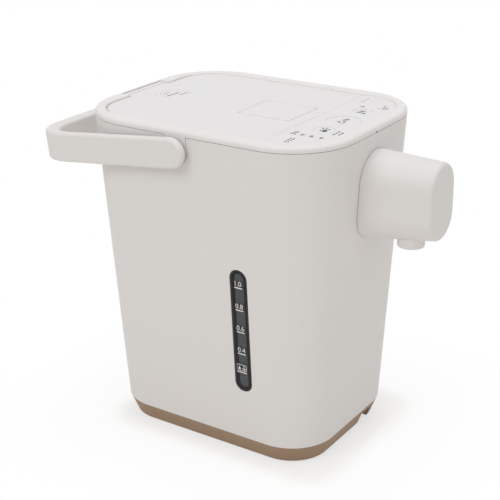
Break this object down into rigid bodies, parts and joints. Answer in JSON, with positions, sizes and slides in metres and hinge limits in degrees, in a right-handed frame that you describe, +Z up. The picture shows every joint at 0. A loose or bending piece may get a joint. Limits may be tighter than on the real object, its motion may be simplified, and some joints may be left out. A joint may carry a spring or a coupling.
{
  "type": "electric thermo pot",
  "caption": "Tall electric hot water pot with rounded sides, a bail handle, a push-button top panel, a hinged lid, an overhanging front spout and a slot water gauge.",
  "frame": {"origin": "centre of the bounding box's bottom face, on the plane that the feet stand on", "axes": "+Z up, -Y towards the spout, +X to the right when looking along +Y, with the water gauge on -X"},
  "size_m": [0.173, 0.2847, 0.2412],
  "materials": {
    "matte_white": "matte warm off-white plastic",
    "plate_white": "smooth warm white plastic",
    "mocha": "matte tan plastic",
    "charcoal": "charcoal plastic",
    "window": "dark clear plastic",
    "glass": "clear glass",
    "lamp": "small clear amber lamps",
    "grey_plastic": "light grey plastic",
    "steel": "brushed stainless steel",
    "aluminium": "cast aluminium",
    "brass": "plain brass",
    "board": "green circuit board",
    "silicone": "translucent silicone",
    "felt": "grey insulating felt",
    "rubber": "black rubber"
  },
  "bodies": {
    "housing": {"base_shell": "mocha", "bottom_plate": "mocha", "base_screws": "steel", "feet": "rubber", "chassis_plate": "grey_plastic", "body_shell": "matte_white", "shoulder_rim": "matte_white", "control_panel": "plate_white", "indicator_lamps": "lamp", "control_board": "board", "board_switches": "charcoal", "inner_vessel": "steel", "vessel_gasket": "silicone", "insulating_jacket": "felt", "heater_plate": "aluminium", "temperature_sensor": "steel", "thermal_fuse": "steel", "vessel_support": "grey_plastic", "gauge_bezel": "charcoal", "gauge_window": "window", "gauge_tube": "glass", "gauge_carrier": "charcoal", "gauge_seals": "silicone", "gauge_hose": "silicone", "pump_housing": "grey_plastic", "pump_cover": "grey_plastic", "pump_motor": "steel", "inlet_hose": "silicone", "outlet_pipe": "silicone", "spill_valve_body": "grey_plastic", "spout_tube": "silicone", "spout_cover": "matte_white", "spout_bracket": "grey_plastic", "spout_screws": "steel", "nozzle": "matte_white", "power_board": "board", "board_components": "charcoal", "power_inlet": "charcoal", "inlet_pins": "brass", "handle_pins": "grey_plastic", "lid_hinge_pin": "steel"},
    "handle": {"handle": "matte_white"},
    "lid": {"lid_cover": "plate_white", "lid_base": "grey_plastic", "lid_screws": "steel", "inner_lid": "steel", "lid_gasket": "silicone", "steam_cap": "plate_white", "steam_chamber": "grey_plastic", "lid_pins": "steel", "latch_spring": "steel"},
    "lever": {"lid_lever": "plate_white"},
    "hook": {"latch_hook": "grey_plastic"},
    "steam_float": {"steam_ball": "steel"},
    "dispense_key": {"dispense_key": "plate_white"},
    "unlock_key": {"unlock_key": "plate_white"},
    "temperature_key": {"temperature_key": "plate_white"},
    "rotor": {"drive_rotor": "steel"},
    "impeller": {"impeller": "grey_plastic"},
    "valve_float": {"spill_valve_ball": "steel"}
  },
  "joints": [
    {"name": "handle_swing", "type": "hinge", "parent": "housing", "child": "handle", "pos_m": [0, 0.0172, 0.2264], "axis": [1, 0, 0], "range_deg": [0, 96.5]},
    {"name": "lid_open", "type": "hinge", "parent": "housing", "child": "lid", "pos_m": [0, 0.10385, 0.2377], "axis": [-1, 0, 0], "range_deg": [0, 90]},
    {"name": "lever_lift", "type": "hinge", "parent": "lid", "child": "lever", "pos_m": [0, 0.00465, 0.2373], "axis": [-1, 0, 0], "range_deg": [0, 25], "stiffness_Nm_per_rad": 0.2},
    {"name": "latch_turn", "type": "hinge", "parent": "lid", "child": "hook", "pos_m": [0, -0.03585, 0.2292], "axis": [1, 0, 0], "range_deg": [0, 21]},
    {"name": "steam_rise", "type": "slide", "parent": "lid", "child": "steam_float", "axis": [0, 0, 1], "range_m": [0, 0.002]},
    {"name": "dispense_press", "type": "slide", "parent": "housing", "child": "dispense_key", "axis": [0, 0, -1], "range_m": [0, 0.0006], "stiffness_N_per_m": 600},
    {"name": "unlock_press", "type": "slide", "parent": "housing", "child": "unlock_key", "axis": [0, 0, -1], "range_m": [0, 0.0006], "stiffness_N_per_m": 600},
    {"name": "temperature_press", "type": "slide", "parent": "housing", "child": "temperature_key", "axis": [0, 0, -1], "range_m": [0, 0.0006], "stiffness_N_per_m": 600},
    {"name": "motor_spin", "type": "hinge", "parent": "housing", "child": "rotor", "pos_m": [0, 0.02865, 0.0262], "axis": [0, 1, 0], "continuous": true},
    {"name": "impeller_spin", "type": "hinge", "parent": "housing", "child": "impeller", "pos_m": [0, 0.01265, 0.0262], "axis": [0, 1, 0], "continuous": true},
    {"name": "valve_rise", "type": "slide", "parent": "housing", "child": "valve_float", "axis": [0, 0, 1], "range_m": [0, 0.003]}
  ],
  "couplings": [
    {"joint": "latch_turn", "follows": "lever_lift", "ratio": 0.83},
    {"joint": "impeller_spin", "follows": "motor_spin", "ratio": 1}
  ]
}
